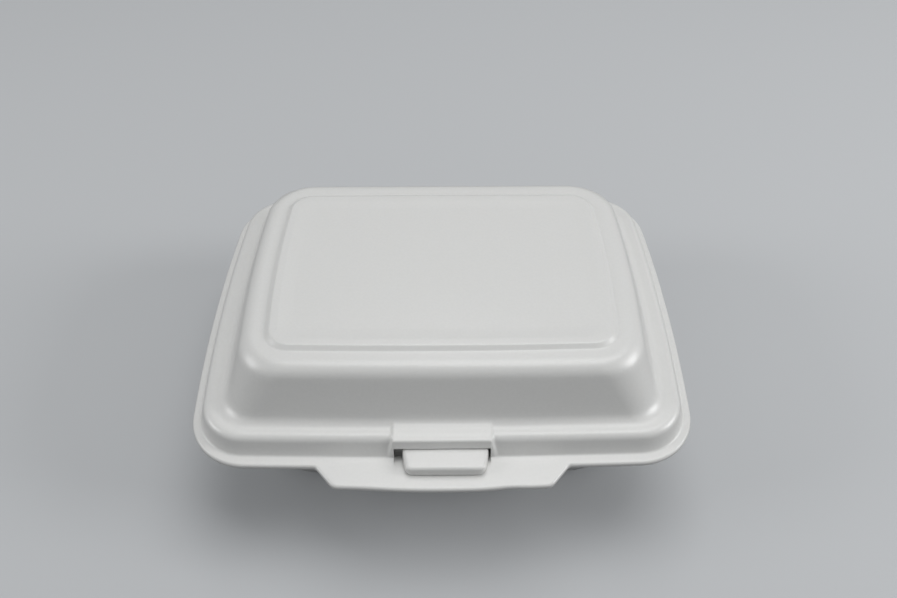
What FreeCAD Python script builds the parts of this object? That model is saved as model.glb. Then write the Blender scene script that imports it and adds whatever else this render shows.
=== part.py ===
"""A foam clamshell food container, closed, with its lid hinged at the back.

One thermoformed sheet of polystyrene foam makes the whole container: a tub
with a rim, a crease along the back, and a domed lid whose front tab is lifted
to open it. A tongue on the tub's front rim comes out through a slot in the lid
and holds it shut. Millimetres, +Z up, +X along the width, front towards -Y,
origin on the table below the middle of the whole container.
"""

import FreeCAD
import Part

import math
import os

import Sketcher

# Driving sizes of the container, in millimetres and degrees
SIZES = {
    # The foam sheet, its pressed crease, and the play between lid and tub
    "sheet": 2.2,
    "crease_sheet": 1.1,
    "lid_gap": 0.3,
    # Outline of the lid's rim: half width, and how far front and crease lie from the tub's middle
    "rim_side": 92.5,
    "rim_front": 71.0,
    "hinge_line": 69.85,
    "rim_corner": 22.5,
    "side_bow": 4.2,
    "front_bow": 1.5,
    # Heights, each counted from the one before it
    "base_height": 42.5,
    "step_rise": 7.4,
    "dome_rise": 20.2,
    "panel_rise": 1.3,
    # Stepped ledge of the lid: its foot's inset from the rim, its lean and its corners
    "step_inset_side": 2.8,
    "step_inset_front": 4.0,
    "step_run": 2.8,
    "step_corner": 19.0,
    "step_top_corner": 16.5,
    "step_round": 3.0,
    # Dome of the lid, behind the flat of the ledge
    "ledge_land": 5.9,
    "dome_run": 8.2,
    "dome_corner": 12.0,
    "shoulder_round": 9.0,
    "dome_foot_round": 4.0,
    # Raised panel on top of the dome, with its edge broken
    "shoulder_land": 7.9,
    "panel_run": 1.2,
    "panel_break": 0.5,
    "panel_corner": 6.0,
    # Lift tab at the front of the lid
    "tab_reach": 9.0,
    "tab_root_half": 47.2,
    "tab_end_half": 37.3,
    "tab_bow_depth": 1.4,
    "tab_corner": 4.0,
    "tab_root_round": 1.5,
    # Slot box at the front of the ledge
    "slot_half": 16.8,
    "slot_post": 2.2,
    "box_inset": 3.7,
    "box_proud": 0.4,
    "box_lean": 11.5,
    "box_round": 1.2,
    # Rim of the tub
    "rim_setback": 2.5,
    "bead_play": 1.6,
    "bead_rise": 4.0,
    "bead_run": 1.1,
    "bead_land": 2.0,
    "bead_break": 0.7,
    "bead_corner": 14.0,
    # Walls and floor of the tub, outside faces
    "tub_run": 10.6,
    "tub_mouth_corner": 13.0,
    "tub_foot_corner": 20.0,
    "tub_foot_round": 10.0,
    # Pushed-up middle of the floor
    "foot_land": 4.5,
    "kick_rise": 1.3,
    "kick_run": 2.0,
    "kick_corner": 10.0,
    # Pressed crease at the back
    "crease_half": 66.0,
    "crease_land": 1.8,
    "crease_end_play": 0.15,
    # Tongue of the tub's front rim
    "tongue_play": 1.5,
    "tongue_offset": 1.1,
    "tongue_narrowing": 1.1,
    "tongue_reach": 3.1,
    "tongue_seat": 0.8,
    "tongue_headroom": 0.6,
    "tongue_lean": 14.0,
    "tongue_round": 1.1,
}

# Levels, as sums of the heights above the table
TUB_RIM = "sizes.base_height"
BEAD_TOP = f"{TUB_RIM} + sizes.bead_rise"
LID_UNDER = f"{TUB_RIM} + sizes.lid_gap"
LID_TOP = f"{LID_UNDER} + sizes.sheet"
LEDGE = f"{LID_TOP} + sizes.step_rise"
SHOULDER = f"{LEDGE} + sizes.dome_rise"
PANEL = f"{SHOULDER} + sizes.panel_rise"

# Insets of the main rings from the lid's rim, each counted from the one before it
DOME = "(sizes.step_inset_front + sizes.step_run + sizes.ledge_land)"
SHOULDER_EDGE = f"({DOME} + sizes.dome_run)"
PANEL_FOOT = f"({SHOULDER_EDGE} + sizes.shoulder_land)"
BEAD_SIDE = "(sizes.step_inset_side + sizes.sheet + sizes.bead_play)"
BEAD_FRONT = "(sizes.step_inset_front + sizes.sheet + sizes.bead_play)"
TUB_MOUTH = f"({BEAD_FRONT} + sizes.bead_run + sizes.bead_land)"
TUB_FOOT = f"({TUB_MOUTH} + sizes.tub_run)"
KICK = f"({TUB_FOOT} + sizes.tub_foot_round + sizes.foot_land)"

# Height of the slot, up to the underside of the ledge
SLOT_RISE = "(sizes.step_rise - sizes.sheet)"

# Middle of the whole container, which lies ahead of the tub's middle because of the tab
MIDDLE = (
    "(sizes.rim_front + sizes.tab_reach - sizes.hinge_line"
    " - sizes.crease_sheet - sizes.lid_gap / 2) / 2"
)


def value(expression):
    """Works out an expression on the sizes as a plain number."""
    return float(FreeCAD.ActiveDocument.sizes.evalExpression(expression))


def wall_shift(run, rise):
    """Sideways distance between the two faces of a sheet that leans by run over rise."""
    lean = f"({run} / {rise})"
    return f"sizes.sheet * (sqrt(1 + {lean}^2) - {lean})"


def add_sizes(doc):
    """Spreadsheet with one named cell for each driving size."""
    sheet = doc.addObject("Spreadsheet::Sheet", "sizes")
    for row, (name, number) in enumerate(SIZES.items(), start=1):
        sheet.set(f"A{row}", name.replace("_", " "))
        sheet.set(f"B{row}", str(number))
        sheet.setAlias(f"B{row}", name)
    doc.recompute()


def add_body(doc, name):
    """Body of one piece, set back so that the origin lies below the container's middle."""
    body = doc.addObject("PartDesign::Body", name)
    body.Label = name
    body.setExpression("Placement.Base.y", MIDDLE)
    return body


def add_sketch(body, name, plane, level):
    """Empty sketch on one of the body's origin planes, lifted by an expression."""
    sketch = body.newObject("Sketcher::SketchObject", name)
    feature = next(f for f in body.Origin.OriginFeatures if f.Role == plane)
    sketch.AttachmentSupport = [(feature, "")]
    sketch.MapMode = "FlatFace"
    sketch.setExpression("AttachmentOffset.Base.z", level)
    return sketch


def dimension(sketch, name, constraint, expression):
    """Adds a named dimension and binds it to the sizes."""
    index = sketch.addConstraint(constraint)
    sketch.renameConstraint(index, name)
    sketch.setExpression(f"Constraints.{name}", expression)


def rim_outline(body, name, level, inset_side, inset_front, corner):
    """Rounded rectangle with bowed sides and front and a straight back.

    The insets are measured from the lid's rim: inset_side at both sides,
    inset_front at the front and from the crease line at the back.
    """
    side = f"(sizes.rim_side - ({inset_side}))"
    front = f"(sizes.rim_front - ({inset_front}))"
    back = f"(sizes.hinge_line - ({inset_front}))"
    side_arc = f"({corner} + (({front} + {back}) / 2 - ({corner})) / sin(sizes.side_bow))"
    front_arc = f"({corner} + ({side} - ({corner})) / sin(sizes.front_bow))"

    bow = math.radians(SIZES["side_bow"])
    tilt = math.radians(SIZES["front_bow"])
    half, ahead, behind, turn = (value(e) for e in (side, front, back, corner))
    big, long = value(side_arc), value(front_arc)
    reach = (ahead + behind) / 2 - turn
    middle = (behind - ahead) / 2
    corner_x = half - big + (big - turn) * math.cos(bow)

    def arc(x, y, radius, start, end):
        circle = Part.Circle(FreeCAD.Vector(x, y, 0), FreeCAD.Vector(0, 0, 1), radius)
        return Part.ArcOfCircle(circle, start, end)

    quarter = math.pi / 2
    back_left = FreeCAD.Vector(-corner_x, behind, 0)
    back_right = FreeCAD.Vector(corner_x, behind, 0)
    sketch = add_sketch(body, name, "XY_Plane", level)
    sketch.addGeometry(
        [
            arc(half - big, middle, big, -bow, bow),
            arc(corner_x, middle + reach, turn, bow, quarter),
            Part.LineSegment(back_right, back_left),
            arc(-corner_x, middle + reach, turn, quarter, 2 * quarter - bow),
            arc(big - half, middle, big, 2 * quarter - bow, 2 * quarter + bow),
            arc(-corner_x, middle - reach, turn, 2 * quarter + bow, 3 * quarter - tilt),
            arc(0, long - ahead, long, 3 * quarter - tilt, 3 * quarter + tilt),
            arc(corner_x, middle - reach, turn, 3 * quarter + tilt, 4 * quarter - bow),
        ],
        False,
    )
    rules = [Sketcher.Constraint("Tangent", n, 2, (n + 1) % 8, 1) for n in range(8)]
    rules += [Sketcher.Constraint("Equal", 1, other) for other in (3, 5, 7)]
    rules += [
        Sketcher.Constraint("Equal", 0, 4),
        Sketcher.Constraint("Horizontal", 2),
        Sketcher.Constraint("PointOnObject", 6, 3, -2),
        Sketcher.Constraint("Vertical", 1, 3, 7, 3),
        Sketcher.Constraint("Symmetric", 0, 3, 4, 3, -2),
    ]
    sketch.addConstraint(rules)
    dimension(sketch, "corner", Sketcher.Constraint("Radius", 1, turn), corner)
    dimension(sketch, "side_arc", Sketcher.Constraint("Radius", 0, big), side_arc)
    dimension(sketch, "front_arc", Sketcher.Constraint("Radius", 6, long), front_arc)
    reach_x = Sketcher.Constraint("DistanceX", 0, 3, -1, 1, big - half)
    dimension(sketch, "side_centre", reach_x, f"{side_arc} - {side}")
    reach_y = Sketcher.Constraint("DistanceY", -1, 1, 6, 3, long - ahead)
    dimension(sketch, "front_centre", reach_y, f"{front_arc} - {front}")
    dimension(sketch, "back", Sketcher.Constraint("DistanceY", -1, 1, 2, 1, behind), back)
    return sketch


def add_loft(body, kind, name, *sections):
    """Straight-walled loft between outlines, added to the body or cut from it."""
    loft = body.newObject("PartDesign::" + kind, name)
    loft.Profile = sections[0]
    loft.Sections = list(sections[1:])
    loft.Ruled = True
    body.Document.recompute()
    return loft


def add_pad(body, kind, name, sketch, length, both_ways=False):
    """Pad or pocket of a sketch along +Z or both ways, its length bound to the sizes."""
    feature = body.newObject("PartDesign::" + kind, name)
    feature.Profile = sketch
    feature.Midplane = both_ways
    feature.Reversed = kind == "Pocket" and not both_ways
    feature.setExpression("Length", length)
    body.Document.recompute()
    return feature


def add_fillet(body, name, edges, radius):
    """Round on edges of the body's last feature, given by name."""
    base = body.Tip
    fillet = body.newObject("PartDesign::Fillet", name)
    fillet.Base = (base, edges)
    fillet.setExpression("Radius", radius)
    body.Document.recompute()
    return fillet


def lean_sides(body, name, angle):
    """Leans every upright face of the body's last feature inwards, about its lowest face."""
    base = body.Tip
    faces = list(enumerate(base.Shape.Faces, start=1))
    foot = min(faces, key=lambda pair: pair[1].CenterOfMass.z)[0]
    draft = body.newObject("PartDesign::Draft", name)
    draft.Base = (base, [f"Face{n}" for n, face in faces if face.BoundBox.ZLength > 1e-4])
    draft.NeutralPlane = (base, [f"Face{foot}"])
    draft.setExpression("Angle", angle)
    body.Document.recompute()
    return draft


def names_of(shape, test):
    """Names of the edges of a shape that pass a test."""
    return [f"Edge{n}" for n, edge in enumerate(shape.Edges, start=1) if test(edge)]


def level_edges(body, level, outer):
    """Edges round the largest flat face at a level: its outer loop, or the loops inside it."""
    height = value(level)
    shape = body.Tip.Shape
    flats = [f for f in shape.Faces if f.BoundBox.ZLength < 1e-4]
    face = max(
        (f for f in flats if abs(f.BoundBox.ZMin - height) < 1e-4),
        key=lambda f: f.BoundBox.DiagonalLength,
    )
    border = face.OuterWire
    loops = [border] if outer else [w for w in face.Wires if not w.isSame(border)]
    chosen = [edge for wire in loops for edge in wire.Edges]
    return names_of(shape, lambda edge: any(edge.isSame(other) for other in chosen))


def round_ring(body, name, level, outer, radius):
    """Round all along one loop of a level face."""
    return add_fillet(body, name, level_edges(body, level, outer), radius)


def polygon(sketch, points):
    """Closed run of straight lines through points, with its corners joined."""
    corners = [FreeCAD.Vector(x, y, 0) for x, y in points]
    count = len(corners)
    sketch.addGeometry(
        [Part.LineSegment(corners[n], corners[(n + 1) % count]) for n in range(count)], False
    )
    sketch.addConstraint(
        [Sketcher.Constraint("Coincident", n, 2, (n + 1) % count, 1) for n in range(count)]
    )


def box_outline(body, name, level, half, front, back):
    """Rectangle across the front, even about the middle, between two distances from it."""
    sketch = add_sketch(body, name, "XY_Plane", level)
    x, ahead, behind = value(half), value(front), value(back)
    polygon(sketch, [(-x, -ahead), (x, -ahead), (x, -behind), (-x, -behind)])
    sketch.addConstraint(
        [
            Sketcher.Constraint("Symmetric", 0, 1, 0, 2, -2),
            Sketcher.Constraint("Horizontal", 2),
            Sketcher.Constraint("Vertical", 1),
            Sketcher.Constraint("Vertical", 3),
        ]
    )
    dimension(sketch, "width", Sketcher.Constraint("DistanceX", 0, 1, 0, 2, 2 * x), f"2 * ({half})")
    dimension(sketch, "front", Sketcher.Constraint("DistanceY", 0, 1, -1, 1, ahead), front)
    dimension(sketch, "back", Sketcher.Constraint("DistanceY", 2, 1, -1, 1, behind), back)
    return sketch


def add_base(doc):
    """Tub with a flat rim, a raised hollow bead inside it and a pushed-up floor."""
    body = add_body(doc, "base")
    under_rim = f"{TUB_RIM} - sizes.sheet"
    bead_neck = f"{BEAD_TOP} - sizes.bead_break"
    bead_lean = wall_shift("sizes.bead_run", "sizes.bead_rise")

    rim = rim_outline(
        body, "tub_rim_sketch", under_rim, "sizes.rim_setback", "sizes.rim_setback",
        "sizes.rim_corner - sizes.rim_setback",
    )
    rim.setExpression("Constraints.back", "sizes.hinge_line - sizes.crease_end_play")
    add_pad(body, "Pad", "tub_rim", rim, "sizes.sheet")

    bead_foot = rim_outline(
        body, "bead_foot_sketch", TUB_RIM, BEAD_SIDE, BEAD_FRONT, "sizes.bead_corner"
    )
    bead_edge = rim_outline(
        body, "bead_edge_sketch", bead_neck, f"{BEAD_SIDE} + sizes.bead_run",
        f"{BEAD_FRONT} + sizes.bead_run", "sizes.bead_corner - sizes.bead_run",
    )
    bead_head = rim_outline(
        body, "bead_head_sketch", BEAD_TOP, f"{BEAD_SIDE} + sizes.bead_run + sizes.bead_break",
        f"{BEAD_FRONT} + sizes.bead_run + sizes.bead_break",
        "sizes.bead_corner - sizes.bead_run - sizes.bead_break",
    )
    add_loft(body, "AdditiveLoft", "bead", bead_foot, bead_edge, bead_head)
    hollow_foot = rim_outline(
        body, "bead_hollow_foot_sketch", under_rim, f"{BEAD_SIDE} + {bead_lean}",
        f"{BEAD_FRONT} + {bead_lean}", "sizes.bead_corner - sizes.bead_run",
    )
    hollow_head = rim_outline(
        body, "bead_hollow_head_sketch", f"{BEAD_TOP} - sizes.sheet",
        f"{BEAD_SIDE} + sizes.bead_run + {bead_lean}",
        f"{BEAD_FRONT} + sizes.bead_run + {bead_lean}",
        "sizes.bead_corner - 2 * sizes.bead_run",
    )
    add_loft(body, "SubtractiveLoft", "bead_hollow", hollow_foot, hollow_head)

    tub_rise = "(sizes.base_height + sizes.bead_rise)"
    lean = f"sizes.tub_run / {tub_rise}"
    wall = wall_shift("sizes.tub_run", tub_rise)
    foot = rim_outline(body, "tub_foot_sketch", "0", TUB_FOOT, TUB_FOOT, "sizes.tub_foot_corner")
    mouth = rim_outline(
        body, "tub_mouth_sketch", BEAD_TOP, TUB_MOUTH, TUB_MOUTH, "sizes.tub_mouth_corner"
    )
    add_loft(body, "AdditiveLoft", "tub", foot, mouth)
    floor = rim_outline(
        body, "floor_sketch", "sizes.sheet", f"{TUB_FOOT} + {wall}", f"{TUB_FOOT} + {wall}",
        "sizes.tub_foot_corner - sizes.sheet",
    )
    neck_inset = f"{TUB_MOUTH} + {wall} + (sizes.sheet + sizes.bead_break) * {lean}"
    inner_neck = rim_outline(
        body, "inner_neck_sketch", bead_neck, neck_inset, neck_inset,
        "sizes.tub_mouth_corner - sizes.sheet",
    )
    mouth_inset = f"{neck_inset} - sizes.bead_break"
    inner_mouth = rim_outline(
        body, "inner_mouth_sketch", BEAD_TOP, mouth_inset, mouth_inset,
        "sizes.tub_mouth_corner - sizes.sheet + sizes.bead_break",
    )
    add_loft(body, "SubtractiveLoft", "tub_inside", floor, inner_neck, inner_mouth)
    round_ring(body, "tub_foot_outside", "0", True, "sizes.tub_foot_round")
    round_ring(body, "tub_foot_inside", "sizes.sheet", True, "sizes.tub_foot_round - sizes.sheet")

    for name, level, kind, outwards in (
        ("kick_inside", "sizes.sheet", "AdditiveLoft", 0),
        ("kick_outside", "0", "SubtractiveLoft", 1),
    ):
        inset = f"{KICK} - {1 - outwards} * sizes.sheet / 2"
        low = rim_outline(
            body, f"{name}_foot_sketch", level, inset, inset, "sizes.kick_corner"
        )
        high = rim_outline(
            body, f"{name}_head_sketch", f"{level} + sizes.kick_rise",
            f"{inset} + sizes.kick_run", f"{inset} + sizes.kick_run",
            "sizes.kick_corner - sizes.kick_run",
        )
        add_loft(body, kind, name, low, high)

    press = box_outline(
        body, "tub_crease_sketch", under_rim, "sizes.crease_half",
        "sizes.crease_land - sizes.hinge_line", "-sizes.hinge_line",
    )
    add_pad(body, "Pocket", "tub_crease_press", press, "sizes.sheet - sizes.crease_sheet")
    return body


def tab_outline(body, name, level):
    """Trapezoid of the lift tab, with a bowed end, from the foot of the ledge outwards."""
    root, end = value("sizes.tab_root_half"), value("sizes.tab_end_half")
    back = "sizes.rim_front - sizes.step_inset_front"
    front = "sizes.rim_front + sizes.tab_reach - sizes.tab_bow_depth"
    bow = "(sizes.tab_end_half^2 + sizes.tab_bow_depth^2) / (2 * sizes.tab_bow_depth)"
    behind, ahead, radius = value(back), value(front), value(bow)
    tilt = math.asin(end / radius)
    centre = FreeCAD.Vector(0, radius * math.cos(tilt) - ahead, 0)
    circle = Part.Circle(centre, FreeCAD.Vector(0, 0, 1), radius)
    down = 1.5 * math.pi
    corners = [
        FreeCAD.Vector(x, -y, 0)
        for x, y in ((end, ahead), (root, behind), (-root, behind), (-end, ahead))
    ]
    sketch = add_sketch(body, name, "XY_Plane", level)
    sketch.addGeometry(
        [
            Part.ArcOfCircle(circle, down - tilt, down + tilt),
            Part.LineSegment(corners[0], corners[1]),
            Part.LineSegment(corners[1], corners[2]),
            Part.LineSegment(corners[2], corners[3]),
        ],
        False,
    )
    sketch.addConstraint(
        [Sketcher.Constraint("Coincident", n, 2, (n + 1) % 4, 1) for n in range(4)]
        + [
            Sketcher.Constraint("PointOnObject", 0, 3, -2),
            Sketcher.Constraint("Horizontal", 0, 1, 0, 2),
            Sketcher.Constraint("Symmetric", 2, 1, 2, 2, -2),
        ]
    )
    end_width = Sketcher.Constraint("DistanceX", 0, 1, 0, 2, 2 * end)
    dimension(sketch, "end_width", end_width, "2 * sizes.tab_end_half")
    root_width = Sketcher.Constraint("DistanceX", 2, 2, 2, 1, 2 * root)
    dimension(sketch, "root_width", root_width, "2 * sizes.tab_root_half")
    dimension(sketch, "root", Sketcher.Constraint("DistanceY", 2, 1, -1, 1, behind), back)
    dimension(sketch, "end", Sketcher.Constraint("DistanceY", 0, 1, -1, 1, ahead), front)
    dimension(sketch, "bow", Sketcher.Constraint("Radius", 0, radius), bow)
    return sketch


def round_tab(body):
    """Rounds the tab's two outer corners and the two hollows where it leaves the rim."""
    foot = value("sizes.rim_front - sizes.step_inset_front / 2")
    middle = value("sizes.rim_front + sizes.tab_reach / 2")
    reach = value("sizes.tab_root_half")
    for name, near, far, radius in (
        ("tab_roots", foot, middle, "sizes.tab_root_round"),
        ("tab_corners", middle, math.inf, "sizes.tab_corner"),
    ):
        upright = names_of(
            body.Tip.Shape,
            lambda edge: edge.BoundBox.DiagonalLength - edge.BoundBox.ZLength < 1e-3
            and near < -edge.BoundBox.YMax < far
            and abs(edge.BoundBox.XMax) < reach,
        )
        add_fillet(body, name, upright, radius)


def add_lid_shell(doc):
    """Lid without its slot box: rim, tab, stepped ledge, dome and raised panel, hollow below."""
    body = add_body(doc, "lid_shell")
    step_lean = wall_shift("sizes.step_run", "sizes.step_rise")
    dome_lean = wall_shift("sizes.dome_run", "sizes.dome_rise")
    panel_lean = wall_shift("sizes.panel_run", "sizes.panel_rise")

    def stack(name, kind, *outlines):
        """Loft through outlines of the lid, each a level, its two insets and its corner."""
        sketches = [
            rim_outline(body, f"{name}_{n}_sketch", level, side, front, corner)
            for n, (level, (side, front), corner) in enumerate(outlines, start=1)
        ]
        return add_loft(body, kind, name, *sketches)

    def moved(insets, shift):
        """Insets at the side and at the front, both moved inwards by the same amount."""
        return tuple(f"{inset} + {shift}" for inset in insets)

    rim = rim_outline(body, "lid_rim_sketch", LID_UNDER, "0", "0", "sizes.rim_corner")
    rim.setExpression("Constraints.back", "sizes.hinge_line - sizes.crease_end_play")
    add_pad(body, "Pad", "lid_rim", rim, "sizes.sheet")
    add_pad(body, "Pad", "tab", tab_outline(body, "tab_sketch", LID_UNDER), "sizes.sheet")
    round_tab(body)

    step = ("sizes.step_inset_side", "sizes.step_inset_front")
    ledge = moved(step, "sizes.step_run")
    dome = (DOME, DOME)
    shoulder = (SHOULDER_EDGE, SHOULDER_EDGE)
    panel = (PANEL_FOOT, PANEL_FOOT)
    edge = moved(panel, "sizes.panel_run")
    top = moved(edge, "sizes.panel_break")
    edge_corner = "sizes.panel_corner - sizes.panel_run / 2"
    stack(
        "step", "AdditiveLoft", (LID_TOP, step, "sizes.step_corner"),
        (LEDGE, ledge, "sizes.step_top_corner"),
    )
    stack(
        "dome", "AdditiveLoft", (LEDGE, dome, "sizes.dome_corner"),
        (SHOULDER, shoulder, "sizes.dome_corner"),
    )
    stack(
        "panel", "AdditiveLoft", (SHOULDER, panel, "sizes.panel_corner"),
        (f"{PANEL} - sizes.panel_break", edge, edge_corner),
        (PANEL, top, f"{edge_corner} - sizes.panel_break"),
    )
    round_ring(body, "shoulder_outside", SHOULDER, True, "sizes.shoulder_round")
    round_ring(body, "dome_foot_outside", LEDGE, False, "sizes.dome_foot_round")
    round_ring(body, "step_outside", LEDGE, True, "sizes.step_round")

    def under(level, insets, lean, corner):
        """The same outline on the face under the sheet."""
        return f"{level} - sizes.sheet", moved(insets, lean), f"{corner} - sizes.sheet"

    stack(
        "step_inside", "SubtractiveLoft", under(LID_TOP, step, step_lean, "sizes.step_corner"),
        under(LEDGE, ledge, step_lean, "sizes.step_top_corner"),
    )
    stack(
        "dome_inside", "SubtractiveLoft", under(LEDGE, dome, dome_lean, "sizes.dome_corner"),
        under(SHOULDER, shoulder, dome_lean, "sizes.dome_corner"),
    )
    stack(
        "panel_inside", "SubtractiveLoft", under(SHOULDER, panel, panel_lean, "sizes.panel_corner"),
        under(PANEL, edge, panel_lean, edge_corner),
    )
    round_ring(
        body, "shoulder_inside", f"{SHOULDER} - sizes.sheet", True,
        "sizes.shoulder_round - sizes.sheet",
    )
    round_ring(
        body, "dome_foot_inside", f"{LEDGE} - sizes.sheet", False,
        "sizes.dome_foot_round + sizes.sheet",
    )

    press = box_outline(
        body, "lid_crease_sketch", f"{LID_UNDER} + sizes.crease_sheet", "sizes.crease_half",
        "sizes.crease_land - sizes.hinge_line", "-sizes.hinge_line",
    )
    add_pad(body, "Pocket", "lid_crease_press", press, "sizes.sheet - sizes.crease_sheet")
    return body


def add_slot_box(doc):
    """Box that stands out of the lid's ledge, open below, with its edges rounded."""
    body = add_body(doc, "slot_box")
    rise = "(sizes.step_rise + sizes.box_proud)"
    front = "(sizes.rim_front - sizes.box_inset)"
    back = f"(sizes.rim_front - {DOME} + sizes.sheet / 2 - {rise} * tan(sizes.box_lean))"
    foot = box_outline(
        body, "box_sketch", LID_TOP, "sizes.slot_half + sizes.slot_post", front, back
    )
    add_pad(body, "Pad", "box", foot, rise)
    lean_sides(body, "box_sides", "sizes.box_lean")
    middle, top = -value(f"({front} + {back}) / 2"), value(f"{LID_TOP} + {rise}")
    ahead = names_of(
        body.Tip.Shape,
        lambda edge: edge.BoundBox.YMax < middle and edge.BoundBox.ZLength > value(rise) / 2,
    )
    add_fillet(body, "box_corners", ahead, "sizes.box_round")
    rim = names_of(
        body.Tip.Shape,
        lambda edge: edge.BoundBox.ZMin > top - 1e-3 and edge.BoundBox.YMin < middle,
    )
    add_fillet(body, "box_top", rim, "sizes.box_round")
    hollow = box_outline(
        body, "box_hollow_sketch", LID_TOP, "sizes.slot_half + sizes.slot_post + sizes.sheet",
        "sizes.rim_front - sizes.step_inset_front - sizes.sheet", f"{back} - sizes.sheet",
    )
    add_pad(body, "Pocket", "box_hollow", hollow, SLOT_RISE)
    return body


def add_lid(doc):
    """Lid: its shell and slot box joined, with the slot cut through the front."""
    shell = add_lid_shell(doc)
    box = add_slot_box(doc)
    joined = doc.addObject("Part::Fuse", "lid_and_box")
    joined.Base = shell
    joined.Tool = box
    slot = doc.addObject("Part::Box", "slot")
    slot.setExpression("Length", "2 * sizes.slot_half")
    slot.setExpression("Width", DOME)
    slot.setExpression("Height", SLOT_RISE)
    slot.setExpression("Placement.Base.x", "-sizes.slot_half")
    slot.setExpression("Placement.Base.y", f"{MIDDLE} - sizes.rim_front")
    slot.setExpression("Placement.Base.z", LID_TOP)
    lid = doc.addObject("Part::Cut", "lid")
    lid.Base = joined
    lid.Tool = slot
    lid.Label = "lid"
    doc.recompute()
    return lid


def add_hinge_web(doc):
    """Pressed crease: a thin half tube round the hinge line that joins the two rims."""
    body = add_body(doc, "hinge_web")
    inner, outer = "sizes.lid_gap / 2", "sizes.lid_gap / 2 + sizes.crease_sheet"
    height = f"{TUB_RIM} + sizes.lid_gap / 2"
    x, z = value("sizes.hinge_line"), value(height)
    small, large, leg = value(inner), value(outer), value("sizes.crease_end_play")
    sketch = add_sketch(body, "crease_sketch", "YZ_Plane", "0")
    turn = math.pi / 2

    def half_circle(radius):
        circle = Part.Circle(FreeCAD.Vector(x, z, 0), FreeCAD.Vector(0, 0, 1), radius)
        return Part.ArcOfCircle(circle, -turn, turn)

    def line(*ends):
        return Part.LineSegment(*(FreeCAD.Vector(u, v, 0) for u, v in ends))

    sketch.addGeometry(
        [
            half_circle(large),
            line((x, z + large), (x - leg, z + large)),
            line((x - leg, z + large), (x - leg, z + small)),
            line((x - leg, z + small), (x, z + small)),
            half_circle(small),
            line((x, z - small), (x - leg, z - small)),
            line((x - leg, z - small), (x - leg, z - large)),
            line((x - leg, z - large), (x, z - large)),
        ],
        False,
    )
    ends = ((0, 2, 1, 1), (1, 2, 2, 1), (2, 2, 3, 1), (3, 2, 4, 2), (4, 1, 5, 1))
    ends += ((5, 2, 6, 1), (6, 2, 7, 1), (7, 2, 0, 1))
    rules = [Sketcher.Constraint("Coincident", *pair) for pair in ends]
    rules += [Sketcher.Constraint("Horizontal", n) for n in (1, 3, 5, 7)]
    rules += [Sketcher.Constraint("Vertical", n) for n in (2, 6)]
    rules += [
        Sketcher.Constraint("Coincident", 0, 3, 4, 3),
        Sketcher.Constraint("Vertical", 0, 1, 0, 3),
        Sketcher.Constraint("Vertical", 0, 2, 0, 3),
        Sketcher.Constraint("Vertical", 4, 1, 4, 3),
        Sketcher.Constraint("Vertical", 4, 2, 4, 3),
        Sketcher.Constraint("Equal", 1, 7),
    ]
    sketch.addConstraint(rules)
    dimension(sketch, "outer", Sketcher.Constraint("Radius", 0, large), outer)
    dimension(sketch, "inner", Sketcher.Constraint("Radius", 4, small), inner)
    dimension(sketch, "line", Sketcher.Constraint("DistanceX", -1, 1, 0, 3, x), "sizes.hinge_line")
    dimension(sketch, "height", Sketcher.Constraint("DistanceY", -1, 1, 0, 3, z), height)
    end = Sketcher.Constraint("DistanceX", 1, 2, 1, 1, leg)
    dimension(sketch, "leg", end, "sizes.crease_end_play")
    add_pad(body, "Pad", "crease", sketch, "2 * sizes.crease_half", both_ways=True)
    return body


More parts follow.
